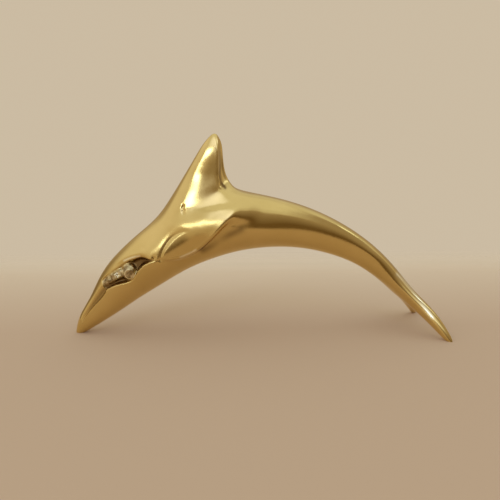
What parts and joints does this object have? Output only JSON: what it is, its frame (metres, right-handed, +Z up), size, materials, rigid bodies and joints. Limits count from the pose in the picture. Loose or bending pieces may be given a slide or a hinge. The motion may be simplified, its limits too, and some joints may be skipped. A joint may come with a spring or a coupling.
{
  "type": "dolphin figurine",
  "caption": "Leaping dolphin figurine, cast in solid brass, standing on the tip of its beak and the tips of its flukes.",
  "frame": {"origin": "on the floor, midway between the foot under the beak and the line of the fluke tips, in the plane of symmetry", "axes": "+Z up, -X towards the nose, +X towards the tail, XZ is the plane of symmetry"},
  "size_m": [0.1664, 0.0466, 0.0891],
  "materials": {
    "brass": "hand polished, with an unpolished cast hollow round each eye"
  },
  "bodies": {
    "root": {"dolphin": "brass"}
  },
  "joints": []
}
